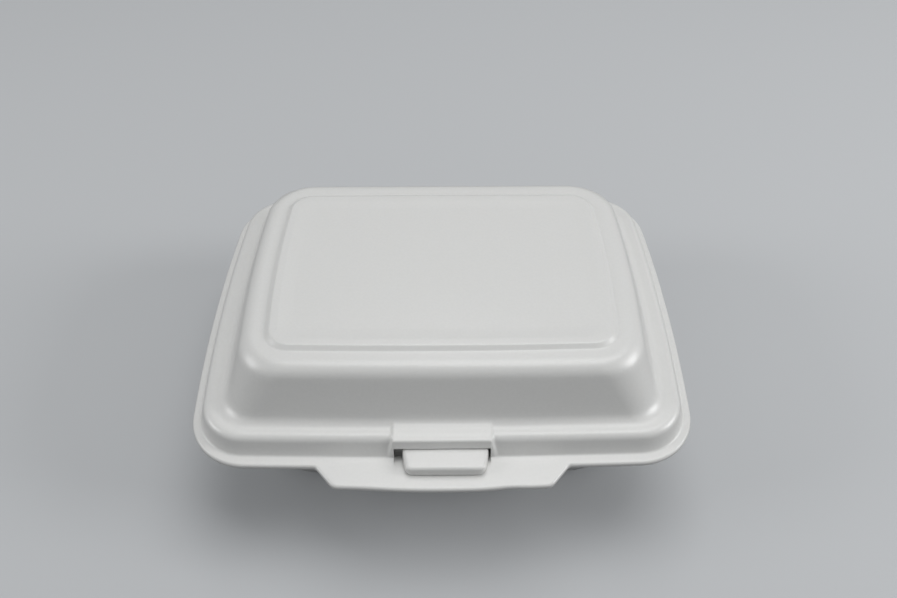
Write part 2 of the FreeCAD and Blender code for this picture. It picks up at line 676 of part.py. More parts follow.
def add_latch_tongue(doc):
    """Tongue that stands on the tub's bead and comes out through the slot, hollow below."""
    body = add_body(doc, "latch_tongue")
    body.setExpression("Placement.Base.x", "sizes.tongue_offset")
    under = f"{LID_TOP} + sizes.lid_gap"
    rise = f"({SLOT_RISE} - sizes.lid_gap - sizes.tongue_headroom)"
    wide = "(sizes.slot_half - sizes.tongue_play)"
    narrow = f"({wide} - sizes.tongue_narrowing)"
    front = "(sizes.rim_front + sizes.tongue_reach)"
    waist = "(sizes.rim_front - sizes.box_inset - sizes.lid_gap)"
    bead = f"(sizes.rim_front - {BEAD_FRONT})"
    back = f"(sizes.rim_front - {TUB_MOUTH} - sizes.tongue_seat)"
    sketch = add_sketch(body, "tongue_sketch", "XY_Plane", under)
    half, end, tip, neck, root = (value(e) for e in (wide, narrow, front, waist, back))
    polygon(
        sketch,
        [(-end, -tip), (end, -tip), (half, -neck), (half, -root), (-half, -root), (-half, -neck)],
    )
    sketch.addConstraint(
        [Sketcher.Constraint("Symmetric", 0, 1, 0, 2, -2), Sketcher.Constraint("Horizontal", 3)]
        + [Sketcher.Constraint("Vertical", n) for n in (2, 4)]
        + [Sketcher.Constraint("Symmetric", 1, 2, 4, 2, -2)]
    )
    for name, constraint, size in (
        ("end", Sketcher.Constraint("DistanceX", 0, 1, 0, 2, 2 * end), f"2 * {narrow}"),
        ("width", Sketcher.Constraint("DistanceX", 3, 2, 3, 1, 2 * half), f"2 * {wide}"),
        ("tip", Sketcher.Constraint("DistanceY", 0, 1, -1, 1, tip), front),
        ("neck", Sketcher.Constraint("DistanceY", 1, 2, -1, 1, neck), waist),
        ("root", Sketcher.Constraint("DistanceY", 3, 1, -1, 1, root), back),
    ):
        dimension(sketch, name, constraint, size)
    add_pad(body, "Pad", "tongue", sketch, rise)
    lean_sides(body, "tongue_sides", "sizes.tongue_lean")
    middle, top = -(root + neck) / 2, value(f"{under} + {rise}")
    ahead = names_of(
        body.Tip.Shape,
        lambda edge: edge.BoundBox.ZLength > value(rise) / 2 and edge.BoundBox.YMax < middle,
    )
    add_fillet(body, "tongue_corners", ahead, "sizes.tongue_round")
    rim = names_of(
        body.Tip.Shape,
        lambda edge: edge.BoundBox.ZMin > top - 1e-3 and edge.BoundBox.YMin < middle,
    )
    add_fillet(body, "tongue_top", rim, "sizes.tongue_round")
    seat = box_outline(
        body, "tongue_seat_sketch", under, f"{wide} + sizes.sheet", bead, f"{back} - sizes.sheet"
    )
    add_pad(body, "Pocket", "tongue_seat", seat, f"{BEAD_TOP} - ({under})")
    hollow = box_outline(
        body, "tongue_hollow_sketch", under, f"{narrow} - sizes.sheet", f"{front} - sizes.sheet",
        f"{bead} + sizes.sheet",
    )
    add_pad(body, "Pocket", "tongue_hollow", hollow, f"{rise} - sizes.sheet")
    return body


def check(doc, pieces):
    """Stops on any object that failed, and on a piece that isn't one valid solid."""
    failed = [o.Name for o in doc.Objects if {"Invalid", "Error"} & set(o.State)]
    for piece in pieces:
        shape = piece.Shape
        if shape.isNull() or not shape.isValid() or len(shape.Solids) != 1:
            failed.append(piece.Label)
    if failed:
        raise RuntimeError("failed: " + ", ".join(failed))


def main():
    """Builds the four pieces and writes each to its own file."""
    doc = FreeCAD.newDocument("clamshell")
    add_sizes(doc)
    pieces = [make(doc) for make in (add_base, add_lid, add_hinge_web, add_latch_tongue)]
    doc.recompute()
    check(doc, pieces)
    os.makedirs("parts", exist_ok=True)
    for piece in pieces:
        piece.Shape.exportStep(os.path.join("parts", piece.Label + ".step"))
        print(f"{piece.Label}: {piece.Shape.Volume:.0f} mm3, {len(piece.Shape.Faces)} faces")


main()
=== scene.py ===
"""Looks of a foam clamshell container: one thermoformed sheet of polystyrene foam, folded shut.

The moulded sheet is drawn as rings. Each ring is a rounded rectangle with bowed sides and front,
some way inside the rim and at some height, and the rings follow the section of the sheet from the
middle of its inside face, round the cut edge, to the middle of its outside face. Sizes are in
millimetres in the part's own frame (+Z up, front towards -Y) until a mesh is made, in metres.
"""

import logging
import math
from dataclasses import dataclass
from enum import Enum

import bmesh
import bpy
import numpy as np
from mathutils import Euler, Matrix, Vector, noise


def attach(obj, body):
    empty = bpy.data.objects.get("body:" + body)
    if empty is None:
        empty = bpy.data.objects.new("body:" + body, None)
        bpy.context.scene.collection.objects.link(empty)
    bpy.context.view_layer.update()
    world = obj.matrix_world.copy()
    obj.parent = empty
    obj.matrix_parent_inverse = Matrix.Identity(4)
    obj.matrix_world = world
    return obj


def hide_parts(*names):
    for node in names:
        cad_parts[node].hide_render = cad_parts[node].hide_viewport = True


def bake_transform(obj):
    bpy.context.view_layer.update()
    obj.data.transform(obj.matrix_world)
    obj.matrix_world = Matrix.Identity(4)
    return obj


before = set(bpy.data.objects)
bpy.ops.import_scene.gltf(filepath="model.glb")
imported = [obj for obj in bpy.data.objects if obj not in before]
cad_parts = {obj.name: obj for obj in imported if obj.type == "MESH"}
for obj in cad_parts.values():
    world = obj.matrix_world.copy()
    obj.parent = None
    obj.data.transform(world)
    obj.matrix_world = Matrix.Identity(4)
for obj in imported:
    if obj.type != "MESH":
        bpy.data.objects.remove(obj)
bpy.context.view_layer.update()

LOG = logging.getLogger("clamshell")
MM = 0.001
ARC_SPANS = 5
CRISP_ANGLE = math.radians(40.0)
# Sizes of the rings that close a flat area, as shares of its outline
INWARD = [0.97, 0.85, 0.6, 0.3]
# Unevenness of moulded foam: width and depth of a patch in millimetres, and how far the pattern
# moves on from one piece to the next
UNEVENNESS = ((26.0, 0.16, 7.0), (7.0, 0.05, 3.0))


class Body(Enum):
    """The two bodies of the container."""

    TUB = "base"
    LID = "lid"


class Slot(Enum):
    """Material slots of the record."""

    FOAM = "foam"


# Sections and outlines


def rounded_path(
    points: np.ndarray, radii: list[float], steps: int
) -> tuple[np.ndarray, np.ndarray]:
    """Rounds the inner corners of an open path.

    Args:
        points: Corners of the path, one row (x, y) each.
        radii: Radius wanted at each corner; the first and last aren't used.
        steps: Spans in each rounded corner.

    Returns:
        The offsets of each corner's arc from that corner, shaped (corners, steps + 1, 2), and how
        far along the path each arc point counts, shaped (corners, steps + 1).
    """
    count = len(points)
    spans = np.linalg.norm(np.diff(points, axis=0), axis=1)
    length = np.concatenate([[0.0], np.cumsum(spans)])
    offsets = np.zeros((count, steps + 1, 2))
    along = np.repeat(length[:, None], steps + 1, axis=1)
    for n in range(1, count - 1):
        back = (points[n - 1] - points[n]) / spans[n - 1]
        ahead = (points[n + 1] - points[n]) / spans[n]
        half = math.acos(float(np.clip(back @ ahead, -1, 1))) / 2
        if radii[n] <= 0 or half > math.radians(89.5):
            continue
        reach = min(radii[n] / math.tan(half), 0.49 * spans[n - 1], 0.49 * spans[n])
        radius = reach * math.tan(half)
        middle = back + ahead
        middle *= math.hypot(reach, radius) / np.linalg.norm(middle)
        sweep = math.pi - 2 * half
        for k in range(steps + 1):
            turn = sweep * (k / steps - 0.5)
            out = -middle / np.linalg.norm(middle)
            side = np.array([-out[1], out[0]])
            if side @ ahead < 0:
                side = -side
            offsets[n, k] = middle + radius * (out * math.cos(turn) + side * math.sin(turn))
            along[n, k] = length[n] + reach * 2 * (k / steps - 0.5)
    return offsets, along


@dataclass(frozen=True)
class Bend:
    """A corner of the sheet's section.

    The insets are measured inwards from the lid's rim at the sides and at the front.
    """

    side: float
    front: float
    level: float
    corner: float
    radius: float = 0.0
    run: int = 1


def section(bends: list[Bend]) -> np.ndarray:
    """Rings along a section, with its corners rounded.

    Args:
        bends: Corners of the section in order; run is the number of spans up to the next one.

    Returns:
        One row for each ring: side inset, front inset, level, corner radius.
    """
    path = np.array([[b.side, b.level] for b in bends])
    offsets, along = rounded_path(path, [b.radius for b in bends], ARC_SPANS)
    spans = np.linalg.norm(np.diff(path, axis=0), axis=1)
    length = np.concatenate([[0.0], np.cumsum(spans)])
    corners = np.array([b.corner for b in bends])
    rings: list[list[float]] = []
    for n, bend in enumerate(bends):
        arc = range(ARC_SPANS + 1) if bend.radius > 0 else range(1)
        for k in arc:
            shift = offsets[n, k]
            corner = float(np.interp(along[n, k], length, corners))
            side, front, level = bend.side + shift[0], bend.front + shift[0], bend.level + shift[1]
            rings.append([side, front, level, corner])
        if n + 1 == len(bends):
            break
        start, shift = rings[-1], offsets[n + 1, 0]
        ahead = bends[n + 1]
        end_corner = float(np.interp(along[n + 1, 0], length, corners))
        end = [ahead.side + shift[0], ahead.front + shift[0], ahead.level + shift[1], end_corner]
        for k in range(1, bend.run):
            rings.append([a + (b - a) * k / bend.run for a, b in zip(start, end)])
    return np.array(rings)


@dataclass(frozen=True)
class Outline:
    """Plan of the container's rim, and the columns in which every ring is cut.

    The bows are the angles, in degrees, by which an edge turns from its middle to its corner. The
    zones and the crease's ends are where the columns stand closer.
    """

    side: float = 92.5
    ahead: float = 71.0
    behind: float = 69.7
    corner: float = 22.5
    side_bow: float = 4.2
    front_bow: float = 1.5
    centre: float = 4.45
    fixed: float = 50.0
    turns: int = 18
    side_spans: int = 44
    back_spans: int = 60
    slot_zone: tuple[float, float] = (15.2, 20.4)
    tab_zone: tuple[float, float] = (32.6, 47.9)
    crease_ends: tuple[float, float] = (0.925, 0.96)

    def front_places(self) -> np.ndarray:
        """Places along the front that every ring keeps, closest at the slot and at the tab."""
        coarse = np.arange(0.0, self.fixed + 0.1, 1.25)
        slot = np.concatenate([np.arange(15.6, 16.8, 0.4), [16.8], np.arange(17.05, 20.1, 0.25)])
        tab = np.arange(33.0, 47.6, 0.5)
        zones = (self.slot_zone, self.tab_zone)
        keep = [x for x in coarse if not any(low < x < high for low, high in zones)]
        half = np.unique(np.round(np.concatenate([keep, slot, tab]), 3))
        return np.concatenate([-half[:0:-1], half])

    def rings(self, rows: np.ndarray) -> np.ndarray:
        """Points of rings.

        Args:
            rows: Side inset, front inset, level and corner radius of each ring.

        Returns:
            Points in millimetres, shaped (rings, columns, 3), running anticlockwise from the
            left end of the front.
        """
        side, front, level, turn = (rows[:, n][:, None] for n in range(4))
        half, ahead = self.side - side, self.ahead - front
        behind = self.behind - front
        big = turn + ((ahead + behind) / 2 - turn) / math.sin(math.radians(self.side_bow))
        long = turn + (half - turn) / math.sin(math.radians(self.front_bow))
        near, far = turn - ahead, behind - turn
        # Middles of the corner arcs, which touch the bowed side and the bowed front; four rounds
        # settle them
        for _ in range(4):
            reach = (far - near) / 2
            across = half - big + np.sqrt((big - turn) ** 2 - reach**2)
            near = long - ahead - np.sqrt((long - turn) ** 2 - across**2)
        reach = (far - near) / 2
        bow = np.arcsin(reach / (big - turn))
        tilt = np.arcsin(across / (long - turn))
        end = long * np.sin(tilt)

        def arc(
            x: np.ndarray, y: np.ndarray, radius: np.ndarray, turned: np.ndarray
        ) -> tuple[np.ndarray, np.ndarray]:
            """Points on arcs about (x, y)."""
            return x + radius * np.cos(turned), y + radius * np.sin(turned)

        # In a ring whose front is too short for the fixed columns, they close up
        reached = np.minimum(self.fixed, 0.96 * end)
        inner = reached / self.fixed * self.front_places()[None, :]
        outer = np.array([0.25, 0.5, 0.75, 1.0])[None, :]
        right = reached + (end - reached) * outer
        x_front = np.concatenate([-right[:, ::-1], inner, right], axis=1)
        y_front = long - ahead - np.sqrt(long**2 - x_front**2)
        step = (np.arange(1, self.turns + 1) / self.turns)[None, :]
        run = (np.arange(1, self.side_spans + 1) / self.side_spans)[None, :]
        crease = np.linspace(*self.crease_ends, 9)
        even = np.linspace(-1, 1, self.back_spans + 1)
        plain = even[np.abs(np.abs(even) - sum(self.crease_ends) / 2) > 0.03]
        line = np.sort(np.concatenate([plain, crease, -crease]))[::-1][None, 1:]
        quarter = math.pi / 2
        parts = [
            (x_front, y_front),
            arc(across, near, turn, -quarter + tilt + (quarter - bow - tilt) * step),
            arc(half - big, (near + far) / 2, big, -bow + 2 * bow * run),
            arc(across, far, turn, bow + (quarter - bow) * step),
            (across * line, behind + 0 * line),
            arc(-across, far, turn, quarter + (quarter - bow) * step),
            arc(big - half, (near + far) / 2, big, 2 * quarter - bow + 2 * bow * run),
            arc(-across, near, turn, 2 * quarter + bow + (quarter - bow - tilt) * step[:, :-1]),
        ]
        x = np.concatenate([p[0] for p in parts], axis=1)
        y = np.concatenate([p[1] for p in parts], axis=1) + self.centre
        return np.stack([x, y, np.broadcast_to(level, x.shape)], axis=2)


def closing(ring: np.ndarray, shares: list[float]) -> np.ndarray:
    """Rings that shrink to the middle of a flat area.

    Args:
        ring: The last full ring, shaped (columns, 3).
        shares: Size of each further ring, as a share of the full one.

    Returns:
        Points shaped (rings, columns, 3).
    """
    middle = (ring.min(axis=0) + ring.max(axis=0)) / 2
    return np.stack([middle + (ring - middle) * [share, share, 1.0] for share in shares])


# Meshes


def mesh_object(name: str, points: np.ndarray, faces: list) -> bpy.types.Object:
    """Makes a mesh object, smooth but for the edges that turn by more than CRISP_ANGLE.

    Args:
        name: Name of the piece.
        points: Vertices in millimetres, one row each.
        faces: Vertex numbers of each face.

    Returns:
        The new object, linked to the scene, with its place in its mesh and its faces outwards.
    """
    mesh = bpy.data.meshes.new(name)
    mesh.from_pydata((points * MM).tolist(), [], faces)
    mesh.validate()
    form = bmesh.new()
    form.from_mesh(mesh)
    if form.calc_volume(signed=True) < 0:
        mesh.flip_normals()
    form.free()
    mesh.polygons.foreach_set("use_smooth", [True] * len(mesh.polygons))
    mesh.set_sharp_from_angle(angle=CRISP_ANGLE)
    obj = bpy.data.objects.new(name, mesh)
    bpy.context.scene.collection.objects.link(obj)
    return obj


def sheet_faces(rings: int, columns: int, skip: np.ndarray | None = None) -> list:
    """Faces of a closed sheet of rings, with a fan at each end.

    Args:
        rings: Number of rings.
        columns: Vertices in each ring; two more vertices follow the last ring, one in the middle
            of the first ring and one in the middle of the last.
        skip: True where the face ahead of ring and column is left out, shaped (rings, columns).

    Returns:
        Vertex numbers of each face.
    """
    faces = []
    for k in range(rings - 1):
        for n in range(columns):
            if skip is not None and skip[k, n]:
                continue
            m = (n + 1) % columns
            here, ahead = k * columns, (k + 1) * columns
            faces.append((here + n, here + m, ahead + m, ahead + n))
    first, last = rings * columns, rings * columns + 1
    top = (rings - 1) * columns
    for n in range(columns):
        m = (n + 1) % columns
        faces.append((first, m, n))
        faces.append((last, top + n, top + m))
    return faces


def with_middles(points: np.ndarray) -> np.ndarray:
    """Flattens rings to rows, and adds the middles of the first and the last ring."""
    ends = [(ring.min(axis=0) + ring.max(axis=0)) / 2 for ring in (points[0], points[-1])]
    return np.concatenate([points.reshape(-1, 3), np.array(ends)])


def soft_window(place: np.ndarray, edge: np.ndarray | float, blur: float) -> np.ndarray:
    """1 inside a distance from the middle, 0 outside, with a soft edge."""
    t = np.clip((edge + blur - np.abs(place)) / (2 * blur), 0, 1)
    return t * t * (3 - 2 * t)


@dataclass(frozen=True)
class Crease:
    """Strip along the back where the sheet is pressed thin on both sides of the hinge."""

    half: float = 66.0
    land: float = 1.8
    sheet: float = 1.1
    edge_blur: float = 0.35
    end_blur: float = 0.5

    def window(self, points: np.ndarray, line: float) -> np.ndarray:
        """1 on the strip ahead of a line across the back, 0 elsewhere, with soft edges."""
        near = soft_window(line - points[:, :, 1], self.land, self.edge_blur)
        return near * soft_window(points[:, :, 0], self.half, self.end_blur)


def settle(obj: bpy.types.Object, size: float, depth: float, seed: float) -> None:
    """Sinks a piece's faces by a slowly changing amount, as moulded foam is never quite flat.

    Args:
        obj: Piece whose vertices move, always into the material.
        size: Width of an uneven patch, in millimetres.
        depth: Largest sinking, in millimetres.
        seed: Shifts the pattern.
    """
    mesh = obj.data
    count = len(mesh.vertices)
    places, normals = np.empty(3 * count), np.empty(3 * count)
    mesh.vertices.foreach_get("co", places)
    mesh.vertex_normals.foreach_get("vector", normals)
    shift = Vector((seed, -seed, seed))
    spots = places.reshape(-1, 3) / (size * MM)
    shares = np.array([0.5 + 0.5 * noise.noise(Vector(spot) + shift) for spot in spots])
    mesh.vertices.foreach_set("co", places - normals * np.repeat(shares, 3) * depth * MM)
    mesh.update()


# Finishes


def linear(colour: str) -> tuple[float, float, float, float]:
    """Turns an sRGB hex colour such as #d9d8d5 to linear red, green, blue and alpha."""
    parts = [int(colour[n : n + 2], 16) / 255 for n in (1, 3, 5)]
    bent = [c / 12.92 if c <= 0.04045 else ((c + 0.055) / 1.055) ** 2.4 for c in parts]
    return bent[0], bent[1], bent[2], 1.0


def add_node(tree: bpy.types.NodeTree, kind: str, settings: dict, links: dict) -> bpy.types.Node:
    """Adds a node.

    Args:
        tree: Tree that gets the node.
        kind: The node's type, such as ShaderNodeTexNoise.
        settings: Values by name; a name or number of one of its sockets sets that socket, any
            other name sets the node's own property.
        links: Sockets that feed the node, by the name or number of its input.

    Returns:
        The new node.
    """
    node = tree.nodes.new(kind)
    for name, value in settings.items():
        if isinstance(name, int) or name in node.inputs:
            node.inputs[name].default_value = value
        else:
            setattr(node, name, value)
    for name, source in links.items():
        tree.links.new(source, node.inputs[name])
    return node


@dataclass(frozen=True)
class PolystyreneFoam:
    """Extruded polystyrene foam sheet, thermoformed.

    The sheet is blown with gas, so it is a mass of closed cells under a thin skin. Its skin is
    smooth with a soft sheen, scatters light just below itself and shows the cells as a mottle.
    Forming stretches it, so the cells, 0.3 to 0.6 mm wide, leave a barely uneven surface.
    """

    name: str = "Polystyrene foam, extruded and thermoformed"
    light: str = "#dededc"
    dark: str = "#dcdcda"
    roughness: float = 0.34
    ior: float = 1.5
    specular: float = 0.8
    scatter: float = 0.25
    scatter_mm: float = 1.2
    scatter_tint: tuple[float, float, float] = (1.0, 0.97, 0.92)
    cell_mm: float = 0.5
    mottle_mm: float = 1.1
    mottle_range: tuple[float, float] = (0.35, 0.65)
    relief_mm: float = 0.005

    def make(self) -> bpy.types.Material:
        """Makes the material.

        Returns:
            Material whose patterns are laid out in the piece's own millimetres.
        """
        material = bpy.data.materials.new(self.name)
        material.use_nodes = True
        tree = material.node_tree
        tree.nodes.clear()
        place = add_node(tree, "ShaderNodeTexCoord", {}, {}).outputs["Object"]
        # Cells just under the skin: noise whose period is one cell
        cells = add_node(
            tree,
            "ShaderNodeTexNoise",
            {"Scale": 1 / (self.cell_mm * MM), "Detail": 1.0, "Roughness": 0.5},
            {"Vector": place},
        )
        # Clumps of cells, which show as a faint mottle
        mottle = add_node(
            tree,
            "ShaderNodeTexNoise",
            {"Scale": 1 / (self.mottle_mm * MM), "Detail": 2.0, "Roughness": 0.6},
            {"Vector": place},
        )
        spread = add_node(
            tree,
            "ShaderNodeMapRange",
            {"From Min": self.mottle_range[0], "From Max": self.mottle_range[1]},
            {"Value": mottle.outputs["Fac"]},
        )
        shade = add_node(
            tree,
            "ShaderNodeMix",
            {"data_type": "RGBA", 6: linear(self.dark), 7: linear(self.light)},
            {0: spread.outputs["Result"]},
        )
        relief = add_node(
            tree,
            "ShaderNodeBump",
            {"Strength": 1.0, "Distance": self.relief_mm * MM},
            {"Height": cells.outputs["Fac"]},
        )
        surface = add_node(
            tree,
            "ShaderNodeBsdfPrincipled",
            {
                "Roughness": self.roughness,
                "IOR": self.ior,
                "Specular IOR Level": self.specular,
                "Subsurface Weight": self.scatter,
                "Subsurface Radius": self.scatter_tint,
                "Subsurface Scale": self.scatter_mm * MM,
            },
            {"Base Color": shade.outputs[2], "Normal": relief.outputs["Normal"]},
        )
        add_node(tree, "ShaderNodeOutputMaterial", {}, {"Surface": surface.outputs["BSDF"]})
        return material


# Pieces


@dataclass
class Lid:
    """Domed lid: rim with a lift tab, stepped ledge with the slot box, dome and raised panel."""

    outline: Outline
    sheet: float = 2.2
    under: float = 42.8
    top: float = 45.0
    ledge: float = 52.4
    shoulder: float = 72.6
    panel: float = 73.9
    panel_dip: float = 0.25
    tab_root: tuple[float, float] = (47.2, 67.0)
    tab_corner: tuple[float, float] = (37.3, 78.6)
    tab_end: float = 80.0
    tab_corner_round: float = 4.0
    tab_root_round: float = 1.5
    tab_flat: float = 1.0
    tab_waves: tuple[tuple[float, float, float], ...] = ((23.0, 6.0, 0.5), (-27.0, 9.0, 0.3))
    step_front: float = 4.0
    side_lead: float = 1.2
    step_run: float = 2.8
    step_rounds: tuple[float, float] = (0.9, 3.0)
    box_half: float = 19.0
    box_front: float = 3.7
    box_run: float = 1.59
    box_rounds: tuple[float, float] = (0.25, 1.0)
    box_top: float = 52.8
    box_lean: float = 11.5
    box_blur: float = 0.75
    box_clear: float = 0.6
    lip_groove: float = 0.2
    lip_roll: float = 0.3
    slot_half: float = 16.8
    slot_top: float = 49.4
    slot_sill: float = 43.2
    crease: Crease = Crease()

    def inside(self) -> list[Bend]:
        """Section of the lid's inside face, from the panel down to the rim."""
        return [
            Bend(31.2, 31.2, self.panel - self.sheet, 5.0, 0.0, 1),
            Bend(29.6, 29.6, self.shoulder - self.sheet, 6.5, 0.6, 3),
            Bend(22.4, 22.4, self.shoulder - self.sheet, 15.0, 6.8, 9),
            Bend(14.2, 14.2, self.ledge - self.sheet, 9.8, 6.0, 3),
            Bend(7.1, 8.3, self.ledge - self.sheet, 14.3, 0.8, 6),
            Bend(4.3, 5.5, self.under, 16.8, 0.5, 3),
        ]

    def outside(
        self, front: float, level: float, run: float, radii: tuple[float, float]
    ) -> list[Bend]:
        """Section of the outside face from the cut edge to the panel.

        Args:
            front: Front inset of the foot of the step.
            level: Height of the ledge.
            run: How far the step's face leans back.
            radii: Rounds at the foot and at the top of the step.

        Returns:
            Corners of the section.
        """
        side = front - self.side_lead
        return [
            Bend(0.0, 0.0, self.under, 22.5, 0.35, 2),
            Bend(0.0, 0.0, self.top, 22.5, 1.15, 4),
            Bend(side, front, self.top, 19.0, radii[0], 8),
            Bend(side + run, front + run, level, 16.5, radii[1], 4),
            Bend(12.7, 12.7, level, 12.0, 4.0, 11),
            Bend(20.9, 20.9, self.shoulder, 17.5, 9.0, 4),
            Bend(28.8, 28.8, self.shoulder, 9.5, 1.4, 1),
            Bend(30.6, 30.6, self.panel, 8.0, 1.4, 1),
            Bend(33.4, 33.4, self.panel, 6.0, 1.2, 2),
            Bend(38.0, 38.0, self.panel - self.panel_dip, 3.0, 0.0, 1),
        ]

    def tab_line(self, inset: float, x: np.ndarray) -> np.ndarray:
        """Distance of the lift tab's edge ahead of the tub's middle.

        Args:
            inset: How far inside the cut edge the line runs.
            x: Places across the front.

        Returns:
            One distance for each place.
        """
        root, corner = np.array(self.tab_root), np.array(self.tab_corner)
        along = (corner - root) / np.linalg.norm(corner - root)
        outward = np.array([along[1], -along[0]])
        rim = self.outline.ahead - inset
        shifted = root - inset * outward
        start = shifted + along * (rim - 0.35 - shifted[1]) / along[1]
        bow = (self.tab_corner[0] ** 2) / 2 / (self.tab_end - self.tab_corner[1])
        end = self.tab_end - inset
        reach = shifted
        for _ in range(2):
            reach = shifted + along * (end - reach[0] ** 2 / 2 / bow - shifted[1]) / along[1]
        # The first and the last point only give the two arcs their directions
        path = np.array([[60.0, rim - 0.6], start, reach, [reach[0] - 14.0, end - 0.55]])
        radii = [0.0, self.tab_root_round + inset, self.tab_corner_round - inset, 0.0]
        offsets, _ = rounded_path(path, radii, 12)
        near = [path[1] + o for o in offsets[1]] + [path[2] + o for o in offsets[2]]
        edge = np.array(near)
        half = np.abs(x)
        line = np.interp(-half, -edge[:, 0], edge[:, 1])
        crown = end - half**2 / 2 / bow
        inner = half < edge[-1, 0]
        line = np.where(inner, crown + (edge[-1, 1] - (end - edge[-1, 0] ** 2 / 2 / bow)), line)
        for place, width, depth in self.tab_waves:
            line = line - depth * np.exp(-(((x - place) / width) ** 2))
        return np.where(half > edge[0, 0], 0.0, line)

    def spread_tab(self, points: np.ndarray, rows: np.ndarray) -> np.ndarray:
        """Pulls the flange's front out to the lift tab's edge."""
        x = points[0, :, 0]
        for k, (_, front, level, _) in enumerate(rows):
            if level > self.top + 0.01 or front > self.step_front:
                continue
            flat = min(front, self.tab_flat)
            line = self.outline.centre - self.tab_line(flat, points[k, :, 0])
            share = np.clip((self.step_front - front) / (self.step_front - self.tab_flat), 0, 1)
            ahead = (points[k, :, 1] < 0) & (np.abs(x) < self.outline.fixed)
            pull = np.where(ahead, np.minimum(line - points[k, :, 1], 0.0), 0.0)
            points[k, :, 1] += pull * share
        return points

    def press_crease(self, points: np.ndarray, rows: np.ndarray) -> np.ndarray:
        """Presses the flange's back edge thin where it meets the hinge."""
        line = self.outline.behind + self.outline.centre
        flange = (rows[:, 2] <= self.top + 0.01)[:, None]
        thin = flange & (points[:, :, 2] > self.under + 0.05)
        share = (points[:, :, 2] - self.under) / self.sheet
        drop = (self.sheet - self.crease.sheet) * self.crease.window(points, line) * share
        points[:, :, 2] -= np.where(thin, drop, 0.0)
        return points

    def build(self) -> bpy.types.Object:
        """Makes the lid's mesh.

        Returns:
            The lid, closed, in place over the tub.
        """
        step = self.outside(self.step_front, self.ledge, self.step_run, self.step_rounds)
        box = self.outside(self.box_front, self.box_top, self.box_run, self.box_rounds)
        rows = section(self.inside() + step)
        inner_count = len(section(self.inside()))
        inner, boxed = rows[:inner_count], section(self.inside() + box)[inner_count:]
        crest = int(np.flatnonzero(np.abs(boxed[:, 2] - self.box_top) < 0.001)[0])
        boxed[crest + 1, 2] -= self.lip_groove
        points = self.outline.rings(rows)
        plain = points[inner_count:]
        raised = self.outline.rings(boxed)
        lean = math.tan(math.radians(self.box_lean))
        narrowed = self.box_half - np.clip(raised[:, :, 2] - self.top, 0, None) * lean
        share = soft_window(plain[:, :, 0], narrowed, self.box_blur)
        share = np.where(plain[:, :, 1] < 0, share, 0.0)[:, :, None]
        # The box ends where the dome's wall begins
        share[boxed[:, 2] > self.box_top + self.box_clear] = 0.0
        points[inner_count:] = plain + (raised - plain) * share
        points = self.spread_tab(points, rows)
        points = self.press_crease(points, rows)

        # Rings between which the slot goes through the outside face (foot to lip) and the inside
        # face (roof to sill)
        columns = points.shape[1]
        x, y = points[0, :, 0], points[0, :, 1]
        ahead = (y < 0) & (np.abs(x) < self.slot_half + 0.01)
        first = int(np.flatnonzero(ahead)[0])
        last = int(np.flatnonzero(ahead)[-1])
        foot = int(np.flatnonzero(boxed[:, 2] > self.top + 0.001)[0]) - 1 + inner_count
        lip = int(np.argmin(np.abs(boxed[:, 2] - self.slot_top))) + inner_count
        points[lip, first : last + 1, 2] = self.slot_top
        points[lip : lip + 2, first : last + 1, 1] -= self.lip_roll
        roof = int(np.flatnonzero(np.abs(inner[:, 2] - (self.ledge - self.sheet)) < 0.001)[-1])
        face = np.arange(roof + 1, inner_count)
        sill = int(face[np.argmin(np.abs(inner[face, 2] - self.slot_sill))])
        points[sill, first : last + 1, 2] = self.slot_sill

        crown = closing(points[0], INWARD[::-1])
        table = closing(points[-1], [0.985, 0.93, 0.8, 0.62, 0.42, 0.2])
        skip = np.zeros((len(points), columns), bool)
        skip[foot:lip, first:last] = True
        skip[roof:sill, first:last] = True
        shift = len(crown)
        points = np.concatenate([crown, points, table])
        skip = np.pad(skip, ((shift, len(table)), (0, 0)))
        foot, lip, roof, sill = (n + shift for n in (foot, lip, roof, sill))
        faces = sheet_faces(len(points), columns, skip)
        for low, high, turned in ((foot, sill, False), (lip, roof, True)):
            for n in range(first, last):
                a, b = low * columns + n, high * columns + n
                faces.append((a, b, b + 1, a + 1) if turned else (a, a + 1, b + 1, b))
        for n, turned in ((first, False), (last, True)):
            loop = [k * columns + n for k in range(foot, lip + 1)]
            loop += [k * columns + n for k in range(roof, sill + 1)]
            faces.append(tuple(loop) if turned else tuple(loop[::-1]))
        return mesh_object("lid_moulding", with_middles(points), faces)


